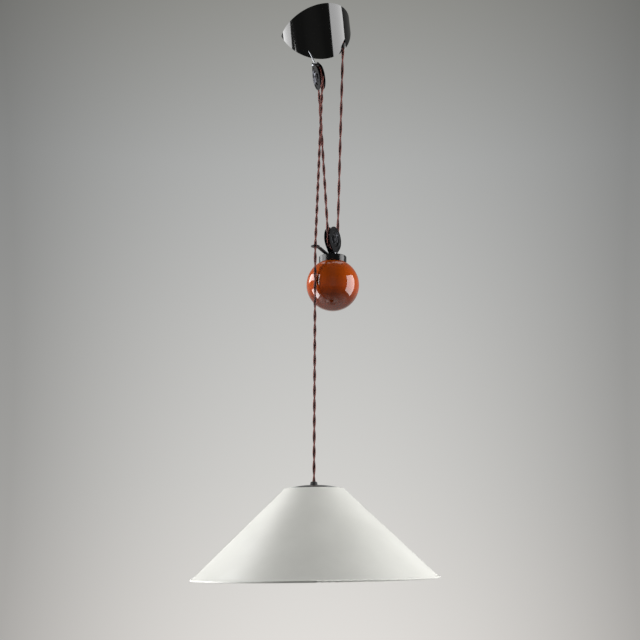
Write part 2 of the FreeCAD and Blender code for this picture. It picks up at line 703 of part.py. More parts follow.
def make_wheel(label, place):
    """A grooved wheel; the groove fits the cord."""
    half, outer = SIZE["wheel_width"] / 2, SIZE["wheel_radius"]
    groove, inside = GROOVE, WHEEL_RECESS
    mouth = (groove + half) / 2
    hub = SIZE["cheek_boss_radius"]
    bore = SIZE["axle_radius"] + SIZE["running_gap"]
    web = SIZE["wheel_web"] / 2
    pitch = SIZE["pitch_radius"]
    points = [(bore, -half), (hub, -half), (hub, -web), (inside, -web), (inside, -half), (outer, -half),
              (outer, -mouth), (pitch, -groove), (pitch - groove, 0), (pitch, groove), (outer, mouth),
              (outer, half), (inside, half), (inside, web), (hub, web), (hub, half), (bore, half)]
    return turned(label, points, arcs={7: -groove, 8: -groove}, place=place)


def make_block(prefix, block):
    """One pulley block: two side plates, the wheel, its axle and the pin in the ears."""
    half_gap = BLOCK_GAP / 2
    flipped = Rotation(Vector(0, 1, 0), 180)
    return [
        make_cheek(prefix + "_cheek_right", block.multiply(at(0, 0, half_gap))),
        make_cheek(prefix + "_cheek_left", block.multiply(at(0, 0, -half_gap, flipped))),
        make_wheel(prefix + "_wheel", block),
        make_pin(prefix + "_axle", SIZE["axle_radius"], block),
        make_pin(prefix + "_ear_pin", SIZE["ear_pin_radius"],
                 block.multiply(at(0, SIZE["ear_pin_distance"], 0))),
    ]


# ---------------------------------------------------------------- counterweight

def make_counterweight():
    outer, inner = SIZE["ball_radius"], SIZE["ball_radius"] - SIZE["ball_wall"]
    neck = SIZE["ball_neck_radius"]
    ball = turned("counterweight_ball",
                  [(0, -outer), (neck, root(outer * outer - neck * neck)),
                   (neck, root(inner * inner - neck * neck)), (0, -inner)],
                  arcs={0: outer, 2: -inner}, place=WEIGHT)

    fill, level = inner - SIZE["seat_gap"] * 2, SIZE["ballast_top"]
    bolt = SIZE["bolt_radius"]
    bolt_hole = bolt + SIZE["running_gap"]
    ballast = turned("ball_ballast",
                     [(0, -fill), (root(fill * fill - level * level), level), (bolt_hole, level),
                      (bolt_hole, level - SIZE["bolt_depth"]), (0, level - SIZE["bolt_depth"])],
                     arcs={0: fill}, place=WEIGHT)

    wide, wall, edge = SIZE["cap_radius"], SIZE["cap_wall"], SIZE["cap_edge"]
    top = CAP_FOOT + SIZE["cap_height"]
    inside = wide - wall
    cap = turned("ball_cap",
                 [(bolt_hole, top - wall), (inside, top - wall),
                  (inside, root(CAP_SEAT * CAP_SEAT - inside * inside)), (wide, CAP_FOOT),
                  (wide, top - edge), (wide - edge, top), (bolt_hole, top)],
                 arcs={4: edge}, place=WEIGHT)

    nut_top = top - wall - SIZE["seat_gap"]
    nut_corner = SIZE["nut_across"] / cosine(formula(30)) / 2
    blank = solid("Prism", "nut_blank", WEIGHT.multiply(at(0, 0, nut_top - SIZE["nut_height"])),
                  Circumradius=nut_corner, Height=SIZE["nut_height"])
    bore = solid("Cylinder", "nut_bore", WEIGHT.multiply(at(0, 0, nut_top - SIZE["nut_height"])),
                 Radius=bolt_hole, Height=SIZE["nut_height"])
    nut = cut("cap_nut", blank, bore)
    return [ball, ballast, cap, nut, make_eye_bolt(top), make_guide_arm()]


def make_eye_bolt(cap_top):
    """The bolt through arm, cap and filling; its flat head carries the lower block's pin."""
    low = SIZE["ballast_top"] - SIZE["bolt_depth"] + SIZE["seat_gap"]
    seat = cap_top + SIZE["arm_thickness"] + SIZE["seat_gap"]
    shank = solid("Cylinder", "bolt_rod", WEIGHT.multiply(at(0, 0, low)),
                  Radius=SIZE["bolt_radius"], Height=seat - low)
    pin = LOWER.multiply(at(0, SIZE["ear_pin_distance"], -SIZE["eye_thickness"] / 2))
    eye = solid("Cylinder", "bolt_eye", pin, Radius=SIZE["eye_radius"], Height=SIZE["eye_thickness"])
    drop = SIZE["ball_z"] + seat
    neck_height = LOWER_Z - SIZE["ear_pin_distance"] - drop
    neck = solid("Box", "bolt_neck", pin.multiply(at(-SIZE["eye_radius"], 0, 0)),
                 Length=SIZE["eye_radius"] * 2, Width=neck_height, Height=SIZE["eye_thickness"])
    hole = solid("Cylinder", "bolt_eye_hole", pin, Radius=SIZE["ear_pin_radius"] + SIZE["running_gap"],
                 Height=SIZE["eye_thickness"])
    return cut("eye_bolt", join("MultiFuse", "bolt_blank", shank, eye, neck), hole)


def make_guide_arm():
    """A cranked strip with an eye at its end; X along the arm, Z up from the cap's top."""
    across, back = SIZE["guide_x"] - SIZE["weight_x"], SIZE["guide_y"] - SIZE["weight_y"]
    reach = root(across * across + back * back)
    thick = SIZE["arm_thickness"]
    rise = SIZE["guide_z"] - thick / 2 - CAP_TOP
    foot, knee = SIZE["cap_radius"] - SIZE["arm_ramp_foot"], reach - SIZE["guide_outer_radius"] * 1.5
    lag = thick / 4
    seat = SIZE["seat_gap"] / 2
    body = new_body("guide_arm")
    strip = outline(body, "arm_side", "XZ_Plane",
                    [(-SIZE["arm_width"], seat), (foot, seat), (knee, rise), (reach, rise),
                     (reach, rise + thick), (knee - lag, rise + thick), (foot - lag, thick),
                     (-SIZE["arm_width"], thick)])
    pad(body, strip, SIZE["arm_width"], midplane=True)
    pad(body, circles(body, "arm_eye", "XY_Plane", [(reach, 0, SIZE["guide_outer_radius"])], lift=rise),
        thick)
    holes = circles(body, "arm_holes", "XY_Plane",
                    [(reach, 0, SIZE["guide_hole_radius"]),
                     (0, 0, SIZE["bolt_radius"] + SIZE["running_gap"])], lift=rise + thick)
    pocket(body, holes, rise + thick * 2)
    turning = Rotation(UP, math.degrees(math.atan2(back.number, across.number)))
    return put(body, at(SIZE["weight_x"], SIZE["weight_y"], CAP_TOP, turning))


# ---------------------------------------------------------------- shade and lampholder

def make_shade():
    wall, bead = SIZE["shade_wall"], SIZE["bead_radius"]
    rim, low = SIZE["shade_radius"] - bead, bead - SIZE["shade_height"]
    run, fall = rim - SIZE["shade_top_radius"], -low
    drop = wall * root(run * run + fall * fall) / run
    hole = DISC_RADIUS - SIZE["disc_seat"]
    shade = new_body("shade")
    turn(shade, outline(shade, "shade_wall", "XZ_Plane",
                        [(hole, -wall),
                         (SIZE["shade_top_radius"] - (drop - wall) * run / fall, -wall),
                         (rim, low - drop / 2), (rim, low + drop / 2),
                         (SIZE["shade_top_radius"], 0), (hole, 0)]))
    turn(shade, circles(shade, "shade_bead", "XZ_Plane", [(rim, low, bead)]))
    put(shade, SHADE)

    gap, sheet, rise = SIZE["seat_gap"], SIZE["disc_wall"], SIZE["disc_rise"]
    hole = SIZE["nipple_radius"] + SIZE["running_gap"]
    width = DISC_RADIUS - hole
    dome = (width * width + rise * rise) / (rise * 2)
    disc = turned("shade_disc",
                  [(DISC_RADIUS - sheet, gap), (DISC_RADIUS, gap), (DISC_RADIUS, gap + sheet),
                   (hole, gap + sheet + rise), (hole, gap + rise)],
                  arcs={2: dome, 4: -dome}, place=SHADE)

    plate_top = -wall - gap
    plate = new_body("clamp_plate")
    blank = circles(plate, "plate_blank", "XY_Plane", [(0, 0, PLATE_RADIUS), (0, 0, hole)],
                    lift=plate_top)
    pad(plate, blank, SIZE["plate_wall"], reverse=True)
    vent = circles(plate, "plate_vent", "XY_Plane", [(SIZE["vent_circle"], 0, SIZE["vent_radius"])],
                   lift=plate_top)
    first_vent = pocket(plate, vent, SIZE["plate_wall"] * 2)
    vents = plate.newObject("PartDesign::PolarPattern", "plate_vents")
    vents.Originals = [first_vent]
    vents.Axis = (vent, ["N_Axis"])
    vents.Angle = 360
    vents.Occurrences = VENT_COUNT
    plate.Tip = vents
    put(plate, SHADE)
    return [shade, disc, plate, *make_grip(gap + sheet + rise), *make_lampholder(plate_top)]


def make_grip(disc_top):
    """The threaded tube through the disc, and the grip that holds the cord on top of it."""
    gap = SIZE["seat_gap"]
    bore = CORD_RADIUS + SIZE["cord_play"]
    low, height = disc_top + gap, SIZE["grip_height"]
    step = low + height * 0.6
    nipple = ring("nipple", bore, SIZE["nipple_radius"], step - SIZE["nipple_length"], step - gap, SHADE)
    wide, hole = SIZE["grip_radius"], SIZE["nipple_radius"] + SIZE["running_gap"]
    round_edge = wide / 4
    blank = turned("grip_blank",
                   [(hole, low), (wide, low), (wide, low + height - round_edge),
                    (wide - round_edge, low + height), (bore, low + height), (bore, step), (hole, step)],
                   arcs={2: round_edge}, place=SHADE)
    side = Rotation(Vector(0, 1, 0), 90)
    middle = (low + height + step) / 2
    screw_hole = solid("Cylinder", "grip_hole", SHADE.multiply(at(0, 0, middle, side)),
                       Radius=SIZE["grip_screw_radius"] + SIZE["running_gap"], Height=wide * 2)
    screw = solid("Cylinder", "grip_screw", SHADE.multiply(at(bore + gap, 0, middle, side)),
                  Radius=SIZE["grip_screw_radius"], Height=wide - bore - gap)
    return [nipple, cut("cord_grip", blank, screw_hole), screw]


def make_lampholder(plate_top):
    gap, hole = SIZE["seat_gap"], SIZE["nipple_radius"] + SIZE["running_gap"]
    wall = SIZE["holder_wall"]
    nut_low = plate_top - SIZE["plate_wall"] - gap - SIZE["nut_height"]
    nut_place = SHADE.multiply(at(0, 0, nut_low))
    nut_blank = solid("Prism", "nipple_nut_blank", nut_place,
                      Circumradius=SIZE["nipple_radius"] * 1.7, Height=SIZE["nut_height"])
    nut = cut("nipple_nut", nut_blank,
              solid("Cylinder", "nipple_nut_bore", nut_place, Radius=hole, Height=SIZE["nut_height"]))

    cap_top, cap_wide = nut_low - gap, SIZE["holder_cap_radius"]
    cap_low = cap_top - SIZE["holder_cap_height"]
    shoulder = wall * 2
    cap = turned("lampholder_cap",
                 [(hole, cap_top - wall), (cap_wide - wall, cap_top - wall), (cap_wide - wall, cap_low),
                  (cap_wide, cap_low), (cap_wide, cap_top - shoulder), (cap_wide - shoulder, cap_top),
                  (hole, cap_top)], arcs={4: shoulder}, place=SHADE)
    sleeve_in = cap_wide + SIZE["running_gap"]
    sleeve_top = cap_low + wall * 2
    sleeve_low = sleeve_top - SIZE["holder_height"]
    sleeve = ring("lampholder_sleeve", sleeve_in, SIZE["holder_radius"] + SIZE["running_gap"],
                  sleeve_low, sleeve_top, SHADE)

    core_top = cap_low - gap
    core_low = core_top - SIZE["core_height"]
    core = turned("lampholder_core", [(0, core_low), (sleeve_in - gap, core_low),
                                      (sleeve_in - gap, core_top), (0, core_top)], place=SHADE)
    thread_in = SIZE["screw_cap_radius"] + gap * 2
    thread = ring("thread_shell", thread_in, thread_in + SIZE["canopy_wall"] / 2,
                  sleeve_low + wall, core_low - gap, SHADE)
    contact_low = core_low - gap - wall
    contact = turned("centre_contact", [(0, contact_low), (hole, contact_low),
                                        (hole, core_low - gap), (0, core_low - gap)], place=SHADE)

    base_top = contact_low - gap
    base_low = base_top - SIZE["screw_cap_height"]
    base = turned("lamp_screw_cap",
                  [(0, base_low), (SIZE["screw_cap_radius"], base_low),
                   (SIZE["screw_cap_radius"], base_top - wall), (hole, base_top), (0, base_top)],
                  place=SHADE)
    return [nut, cap, sleeve, core, thread, contact, base, make_glass(base_low - gap)]


def make_glass(top):
    """The lamp's pear-shaped glass, a thin closed shell open at its neck."""
    round_part, wall = SIZE["bulb_radius"], SIZE["bulb_wall"]
    middle = top - SIZE["bulb_length"] + round_part
    neck = SIZE["screw_cap_radius"] - wall
    neck_end = top - SIZE["bulb_length"] / 10
    lift = cosine(SIZE["bulb_shoulder"])
    spread = sine(SIZE["bulb_shoulder"])
    inner = round_part - wall
    return turned("lamp_glass",
                  [(0, middle - round_part), (round_part * spread, middle + round_part * lift),
                   (neck, neck_end), (neck, top), (neck - wall, top), (neck - wall, neck_end),
                   (inner * spread, middle + inner * lift), (0, middle - inner)],
                  arcs={0: round_part, 6: -inner}, place=SHADE)


# ---------------------------------------------------------------- cord

def make_cord():
    grip_top = (SIZE["seat_gap"] * 2 + SIZE["disc_wall"] + SIZE["disc_rise"] + SIZE["grip_height"]).number
    rise = (ROUTE["guide"] - ROUTE["shade"]).normalize()
    out = ROUTE["shade"] + rise * ((SHADE.Base.z + grip_top - ROUTE["shade"].z) / rise.z)
    cord_way = (CORD_HOLE - BENDS["lower_far"].stop).normalize()
    bush_low = CORD_HOLE - cord_way * (SIZE["bush_length"].number / 2)
    return [
        cord("cord_end", ROUTE["shade"], [], out),
        cord("cord_lower_run", out, [], BENDS["guide"].start),
        cord("cord_upper_run", BENDS["guide"].start, ["guide", "upper_near"], BENDS["upper_near"].stop),
        cord("cord_upper_turn", BENDS["upper_near"].stop, CORNERS["upper"],
             BENDS["upper_far"].start),
        cord("cord_middle_run", BENDS["upper_far"].start, ["upper_far", "lower_near"],
             BENDS["lower_near"].stop),
        cord("cord_lower_turn", BENDS["lower_near"].stop, CORNERS["lower"],
             BENDS["lower_far"].start),
        cord("cord_canopy_run", BENDS["lower_far"].start, ["lower_far"], bush_low),
        cord("cord_tail", bush_low, ["tail_turn", "tail_strap"], ROUTE["tail_end"]),
    ]


# ---------------------------------------------------------------- the whole

PIECES = [
    *make_canopy(),
    make_link(),
    *make_block("upper", UPPER),
    *make_block("lower", LOWER),
    *make_counterweight(),
    *make_shade(),
    *make_cord(),
]
DOC.recompute()

for item in DOC.Objects:
    faults = [state for state in item.State if state in ("Invalid", "Error")]
    if faults:
        raise RuntimeError(f"{item.Label} is {faults}")
os.makedirs("parts", exist_ok=True)
for piece in PIECES:
    if piece.Shape.isNull() or not piece.Shape.isValid() or not piece.Shape.Solids:
        raise RuntimeError(f"{piece.Label} has no valid solid")
for piece in PIECES:
    piece.Shape.exportStep(f"parts/{piece.Label}.step")
    print(f"{piece.Label}: {len(piece.Shape.Solids)} solid(s), {piece.Shape.Volume / 1000:.2f} cm3")
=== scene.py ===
# %% [markdown]
# # A rise and fall pendant lamp
#
# The lamp hangs on one twisted flex that runs over two pulleys. Pull the white shade down and the
# amber ball climbs; let go and they balance. The solids, their sizes and their joints come from the
# CAD model, which is loaded first and stays as it is. This lesson gives each solid its finish, lays
# the flex, and sets up a small studio round the lamp. Everything is in metres, with +Z up and the
# origin in the hole for the ceiling hook.

# %% Load the solids
import bpy
import math
from collections import namedtuple
from mathutils import Euler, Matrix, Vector


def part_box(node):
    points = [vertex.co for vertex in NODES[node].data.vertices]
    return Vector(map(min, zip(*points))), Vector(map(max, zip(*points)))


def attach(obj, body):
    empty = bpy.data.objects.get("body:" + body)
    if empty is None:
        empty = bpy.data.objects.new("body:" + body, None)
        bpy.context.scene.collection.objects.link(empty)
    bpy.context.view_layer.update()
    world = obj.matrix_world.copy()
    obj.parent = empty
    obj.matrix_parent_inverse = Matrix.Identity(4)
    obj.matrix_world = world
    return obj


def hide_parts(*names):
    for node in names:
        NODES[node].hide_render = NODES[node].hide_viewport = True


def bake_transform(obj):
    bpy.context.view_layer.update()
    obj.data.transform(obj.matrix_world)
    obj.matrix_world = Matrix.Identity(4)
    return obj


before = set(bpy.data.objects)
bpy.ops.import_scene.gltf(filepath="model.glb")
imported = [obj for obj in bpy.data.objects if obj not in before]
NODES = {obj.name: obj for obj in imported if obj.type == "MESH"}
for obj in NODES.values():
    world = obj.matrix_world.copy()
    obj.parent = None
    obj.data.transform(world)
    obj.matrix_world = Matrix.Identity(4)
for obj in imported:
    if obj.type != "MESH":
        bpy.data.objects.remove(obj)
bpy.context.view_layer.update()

# %% [markdown]
# ## The camera
#
# The lamp is tall, so the picture was taken from low down and about two metres away, with the camera
# tipped up. Tipping is what makes the upright lines lean together a little towards the top. A lens
# shift could keep them upright, but the picture doesn't show that, so the camera is simply turned.

# %% Camera
LENS_MM, SENSOR_MM = 58.5, 36.0
CAMERA_PLACE = (-0.012, -2.187, -1.1926)
TIPPED_UP = 12.7        # degrees above level


def new_object(name, data):
    """An object in the scene that shows the given mesh, curve, light or camera."""
    thing = bpy.data.objects.new(name, data)
    bpy.context.scene.collection.objects.link(thing)
    return thing


camera_data = bpy.data.cameras.new("camera")
camera_data.lens = LENS_MM
camera_data.sensor_width = SENSOR_MM
camera = new_object("camera", camera_data)
camera.location = CAMERA_PLACE
camera.rotation_euler = Euler((math.radians(90 + TIPPED_UP), 0, 0))
bpy.context.scene.camera = camera
print("camera sees", round(math.degrees(camera_data.angle), 1), "degrees")

# %% [markdown]
# ## Colours and nodes
#
# Paint and glaze colours are written down as the hex numbers a screen shows. Blender mixes light, so
# it needs them linear. One function does that. A second one adds a shader node, sets it up and links
# it, and every material below is built with it.

# %% Colour, node and material
AMBER = "#A04000"


def colour(hex_code):
    """A screen colour such as "#A04000" as linear red, green, blue and alpha."""
    parts = [int(hex_code[i:i + 2], 16) / 255 for i in (1, 3, 5)]
    linear = [p / 12.92 if p <= 0.04045 else ((p + 0.055) / 1.055) ** 2.4 for p in parts]
    return (*linear, 1.0)


def add(tree, kind, inputs=None, **settings):
    """Add a node to a tree. Inputs are values, or output sockets to link from."""
    node = tree.nodes.new(kind)
    for name, value in settings.items():
        setattr(node, name, value)
    for name, value in (inputs or {}).items():
        socket = node.inputs[name]
        if isinstance(value, bpy.types.NodeSocket):
            tree.links.new(value, socket)
        else:
            socket.default_value = value
    return node


def new_material(name, **shader_values):
    """A material with one Principled shader; the values go on the shader's own sockets."""
    material = bpy.data.materials.new(name)
    material.use_nodes = True
    tree = material.node_tree
    tree.nodes.clear()
    inputs = {key.replace("_", " "): value for key, value in shader_values.items()}
    shader = add(tree, "ShaderNodeBsdfPrincipled", inputs)
    add(tree, "ShaderNodeOutputMaterial", {"Surface": shader.outputs[0]})
    place = add(tree, "ShaderNodeTexCoord").outputs["Object"]
    return material, tree, shader, place


print("amber in linear light:", [round(c, 3) for c in colour(AMBER)])

# %% [markdown]
# ## A surface's own unevenness
#
# No sprayed, glazed or brushed surface is perfectly flat, and none has one colour all over. Three
# noises give that, each with a size in millimetres: a fine one drives a bump, a slow one lets the
# roughness drift, so that reflections waver as they do on the real thing, and a third lets the colour
# drift between two close ones. All are kept small: a glossy finish is judged by how clean its edges
# stay. Modelled bumps would need millions of faces for the same.

# %% Grain, gloss and colour
NOISE_LOW, NOISE_HIGH = 0.35, 0.65      # most of a noise's values lie between these
GLOSS_PATCH_MM = 40


def grained(tree, shader, place, size_mm, height_mm):
    """Bumps of a given size and height."""
    grain = add(tree, "ShaderNodeTexNoise",
                {"Vector": place, "Scale": 1000 / size_mm, "Detail": 2.0, "Roughness": 0.5})
    bump = add(tree, "ShaderNodeBump",
               {"Height": grain.outputs[0], "Distance": height_mm / 1000, "Strength": 1.0})
    tree.links.new(bump.outputs[0], shader.inputs["Normal"])


def uneven_gloss(tree, shader, place, low, high):
    """A roughness that drifts between two values."""
    drift = add(tree, "ShaderNodeTexNoise",
                {"Vector": place, "Scale": 1000 / GLOSS_PATCH_MM, "Detail": 3.0})
    spread = add(tree, "ShaderNodeMapRange",
                 {"Value": drift.outputs[0], "From Min": NOISE_LOW, "From Max": NOISE_HIGH,
                  "To Min": low, "To Max": high})
    tree.links.new(spread.outputs[0], shader.inputs["Roughness"])


def shaded(tree, shader, place, dark, light, size_mm):
    """A base colour that drifts between two close colours."""
    cloud = add(tree, "ShaderNodeTexNoise", {"Vector": place, "Scale": 1000 / size_mm, "Detail": 3.0})
    ramp = add(tree, "ShaderNodeValToRGB", {"Fac": cloud.outputs[0]})
    ramp.color_ramp.elements[0].position = NOISE_LOW
    ramp.color_ramp.elements[0].color = colour(dark)
    ramp.color_ramp.elements[1].position = NOISE_HIGH
    ramp.color_ramp.elements[1].color = colour(light)
    tree.links.new(ramp.outputs[0], shader.inputs["Base Color"])


def plain_finish(name, colours, cloud_mm, grain_mm, height_mm, roughness, **shader_values):
    """A material with all three: a drifting colour, a fine grain and an uneven gloss."""
    material, tree, shader, place = new_material(name, **shader_values)
    shaded(tree, shader, place, *colours, cloud_mm)
    grained(tree, shader, place, grain_mm, height_mm)
    uneven_gloss(tree, shader, place, *roughness)
    print("made", name)
    return material


print("gloss drifts over patches of", GLOSS_PATCH_MM, "mm")

# %% [markdown]
# ## Stoved black enamel
#
# The ceiling cup is sheet metal with black enamel baked on. Enamel is a glassy layer: it hardly
# scatters light, so the eye sees almost nothing but what it mirrors. Its index of refraction is about
# 1.54, and it has a faint orange peel about 3 mm across. The cap on the ball has a plainer, air dried
# lacquer, which mirrors less and blurs more, so it gets a lower index and a higher roughness.

# %% Black enamel
black_enamel = plain_finish(
    "stoved_black_enamel", ("#020202", "#040404"), cloud_mm=60, grain_mm=3.0, height_mm=0.0006,
    roughness=(0.05, 0.08), IOR=1.54)
black_lacquer = plain_finish(
    "air_dried_black_lacquer", ("#050505", "#090909"), cloud_mm=40, grain_mm=2.0, height_mm=0.0008,
    roughness=(0.2, 0.26), IOR=1.4)

# %% [markdown]
# ## White vitreous enamel
#
# The shade's white is a glass that was fused on the steel. It is a shade greener and greyer than
# paper. It was never polished and mirrors only softly, so its roughness is near 0.4. One flat white
# would look like plastic from nearby; two whites, a few steps apart, keep it from that.

# %% White enamel
white_enamel = plain_finish(
    "white_vitreous_enamel", ("#DBDBD5", "#E1E1DB"), cloud_mm=90, grain_mm=4.0, height_mm=0.0008,
    roughness=(0.38, 0.44), IOR=1.5)

# %% [markdown]
# ## Amber glaze
#
# The counterweight is a stoneware ball in an amber glaze. The colour lies under a clear, mirror smooth
# coat, which is just what the shader's coat is for. The coloured layer itself has an index close to 1,
# because it has no surface of its own under the coat that could mirror. A ramp by height gives the
# glaze its orange at the top and paints it darker and browner towards the foot. That darkening is
# painted shade on the ball's underside. A slow noise makes the edge of the dark part wander by a few
# millimetres.

# %% Amber glaze
WANDER_MM = 25
WANDER = 0.12           # how far the noise shifts the ramp, as a share of the ball's height
amber_glaze, tree, shader, place = new_material(
    "amber_glaze", IOR=1.05, Coat_Weight=1.0, Coat_Roughness=0.03, Coat_IOR=1.5)
ball_low, ball_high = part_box("counterweight_ball")
wander = add(tree, "ShaderNodeTexNoise", {"Vector": place, "Scale": 1000 / WANDER_MM, "Detail": 2.0})
upright = add(tree, "ShaderNodeSeparateXYZ", {"Vector": place})
level = add(tree, "ShaderNodeMapRange",
            {"Value": upright.outputs["Z"], "From Min": ball_low[2], "From Max": ball_high[2],
             "To Min": -WANDER / 2, "To Max": 1 - WANDER / 2})
run = add(tree, "ShaderNodeMath", {0: wander.outputs[0], 1: WANDER, 2: level.outputs[0]},
          operation="MULTIPLY_ADD")
# The ramp gives the glaze's amber and paints the lower part of the ball darker and browner: painted
# shade on its underside.
glaze_with_painted_shade = add(tree, "ShaderNodeValToRGB", {"Fac": run.outputs[0]})
glaze_with_painted_shade.color_ramp.elements[0].position = 0.12
glaze_with_painted_shade.color_ramp.elements[0].color = colour("#5A1E02")
glaze_with_painted_shade.color_ramp.elements[1].position = 0.85
glaze_with_painted_shade.color_ramp.elements[1].color = colour("#A64400")
for spot, hex_code in ((0.24, "#6A2600"), (0.38, "#963800"), (0.55, AMBER)):
    glaze_with_painted_shade.color_ramp.elements.new(spot).color = colour(hex_code)
tree.links.new(glaze_with_painted_shade.outputs[0], shader.inputs["Base Color"])
grained(tree, shader, place, size_mm=6.0, height_mm=0.0008)
uneven_gloss(tree, shader, place, low=0.5, high=0.6)
print("glaze from", round(ball_low[2], 4), "to", round(ball_high[2], 4))

# %% [markdown]
# ## Steels
#
# The pulley plates are blackened and polished: a thin dark oxide under oil, so a metal with a dark
# face that still gives small bright glints. Wheels, axles, the eye bolt and the guide arm are
# blackened and left duller. The strap, wire link, pins and screws are zinc plated: brighter, a little
# blue, and crystalline at the scale of half a millimetre. A metal has no colour but its mirror's, so
# a dark base colour is what makes it a dark metal.

# %% Blackened and zinc plated steel
blackened_steel = plain_finish(
    "blackened_steel", ("#303135", "#3B3C40"), cloud_mm=12, grain_mm=0.8, height_mm=0.001,
    roughness=(0.12, 0.18), Metallic=1.0)
zinc_steel = plain_finish(
    "zinc_plated_steel", ("#84878C", "#94979C"), cloud_mm=6, grain_mm=0.6, height_mm=0.003,
    roughness=(0.24, 0.36), Metallic=1.0)
oiled_iron = plain_finish(
    "blackened_wheel_steel", ("#1A1A1C", "#242427"), cloud_mm=12, grain_mm=0.8, height_mm=0.004,
    roughness=(0.36, 0.5), Metallic=1.0)

# %% [markdown]
# ## Spun aluminium
#
# The disc that closes the shade was spun on a lathe, so its marks run in circles about its middle. A
# noise has no direction, so a wave texture in rings draws them. Its sine runs through 20 radians for
# each unit, and the scale turns that into a ring every 1.2 mm or so, which is coarser than the tool
# left them but just shows in a close view.

# %% Spun aluminium
RING_SPACING = 0.001184
WAVE_RADIANS = 20       # what Blender's wave texture runs through for each unit
disc_low, disc_high = (Vector(corner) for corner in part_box("shade_disc"))
disc_middle = (disc_low + disc_high) / 2
spun_aluminium, tree, shader, place = new_material("spun_aluminium", Metallic=1.0)
# Both greys are much darker than bare aluminium; that darkness is painted shade on the disc, which is
# seen almost edge on.
shaded(tree, shader, place, "#4E5152", "#5A5D5E", size_mm=25)
uneven_gloss(tree, shader, place, low=0.28, high=0.36)
from_axis = add(tree, "ShaderNodeVectorMath", {0: place, 1: disc_middle}, operation="SUBTRACT")
rings = add(tree, "ShaderNodeTexWave",
            {"Vector": from_axis.outputs[0], "Scale": 2 * math.pi / WAVE_RADIANS / RING_SPACING,
             "Distortion": 0.4, "Detail": 1.0},
            wave_type="RINGS", rings_direction="Z")
lathe = add(tree, "ShaderNodeBump",
            {"Height": rings.outputs[1], "Distance": 0.000004, "Strength": 0.6})
tree.links.new(lathe.outputs[0], shader.inputs["Normal"])
print("made", spun_aluminium.name, "with rings about", disc_middle)

# %% [markdown]
# ## What holds the lamp and carries the current
#
# Turned brass for the threaded tube and contacts, pressed phenolic for the lampholder, steatite (a
# matt, cream ceramic) where the heat is, black rubber for the bush and the collar, and grey iron in
# the ball. Little of this shows, so the plain finish with typical values is enough.

# %% Brass, phenolic, steatite, rubber, iron
turned_brass = plain_finish(
    "turned_brass", ("#B08A48", "#BE9852"), cloud_mm=8, grain_mm=0.5, height_mm=0.002,
    roughness=(0.22, 0.32), Metallic=1.0)
phenolic = plain_finish(
    "black_phenolic", ("#141312", "#1B1918"), cloud_mm=10, grain_mm=1.2, height_mm=0.002,
    roughness=(0.26, 0.36), IOR=1.6)
steatite = plain_finish(
    "steatite", ("#DDD6C6", "#E6E0D2"), cloud_mm=5, grain_mm=0.5, height_mm=0.004,
    roughness=(0.5, 0.62), IOR=1.6)
nitrile_rubber = plain_finish(
    "nitrile_rubber", ("#161616", "#1E1E1E"), cloud_mm=4, grain_mm=0.6, height_mm=0.006,
    roughness=(0.6, 0.75), IOR=1.52)
grey_iron = plain_finish(
    "cast_grey_iron", ("#3A3836", "#4A4846"), cloud_mm=5, grain_mm=1.5, height_mm=0.05,
    roughness=(0.55, 0.7), Metallic=1.0)

# %% [markdown]
# ## Frosted lamp glass
#
# The lamp's glass is etched inside, so light scatters as it passes: transmission with a roughness of
# about 0.4, and the 1.52 of soda-lime glass. A plain white would do for an opal lamp, but an etched
# one lets a little of its cap show through.

# %% Lamp glass
frosted_glass = plain_finish(
    "frosted_soda_lime_glass", ("#E9E9E4", "#F0F0EC"), cloud_mm=20, grain_mm=0.7, height_mm=0.004,
    roughness=(0.36, 0.44), IOR=1.52, Transmission_Weight=0.75)

# %% [markdown]
# ## Give each solid its finish
#
# The solids keep their shape; only the material in their slot changes. It could be done one solid at
# a time, but a list reads like the maker's parts list, finish first.

# %% Finishes
FINISHES = {
    black_enamel: ["canopy_shell"],
    black_lacquer: ["ball_cap"],
    white_enamel: ["shade"],
    amber_glaze: ["counterweight_ball"],
    blackened_steel: ["upper_cheek_left", "upper_cheek_right", "lower_cheek_left",
                      "lower_cheek_right"],
    oiled_iron: ["guide_arm", "eye_bolt", "upper_wheel", "lower_wheel", "upper_axle", "lower_axle"],
    zinc_steel: ["hanger_strap", "strap_bolt", "cord_clip", "pulley_link", "upper_ear_pin",
                 "lower_ear_pin", "cap_nut", "clamp_plate", "grip_screw"],
    spun_aluminium: ["shade_disc", "lamp_screw_cap"],
    turned_brass: ["terminal_screws", "nipple", "nipple_nut", "thread_shell", "centre_contact"],
    phenolic: ["cord_grip", "lampholder_cap", "lampholder_sleeve"],
    steatite: ["terminal_block", "lampholder_core"],
    nitrile_rubber: ["cord_bush"],
    grey_iron: ["ball_ballast"],
    frosted_glass: ["lamp_glass"],
}
for finish, names in FINISHES.items():
    for name in names:
        NODES[name].data.materials.clear()
        NODES[name].data.materials.append(finish)
    print(finish.name, "on", len(names), "solids")

# %% [markdown]
# ## The collar on the disc
#
# Where the flex goes into the shade the photograph shows hardly more than the flex itself, so the
# grip there is a low collar of moulded rubber, which stands for the grip and its screw. A cylinder
# with its edges bevelled would come close. It is simpler to spin one outline round the middle of the
# grip's solid: a slight taper, a rounded top, and a bore that clears the threaded tube and the flex.

# %% Spin an outline
CREASE = math.radians(40)       # a steeper edge than this looks sharp


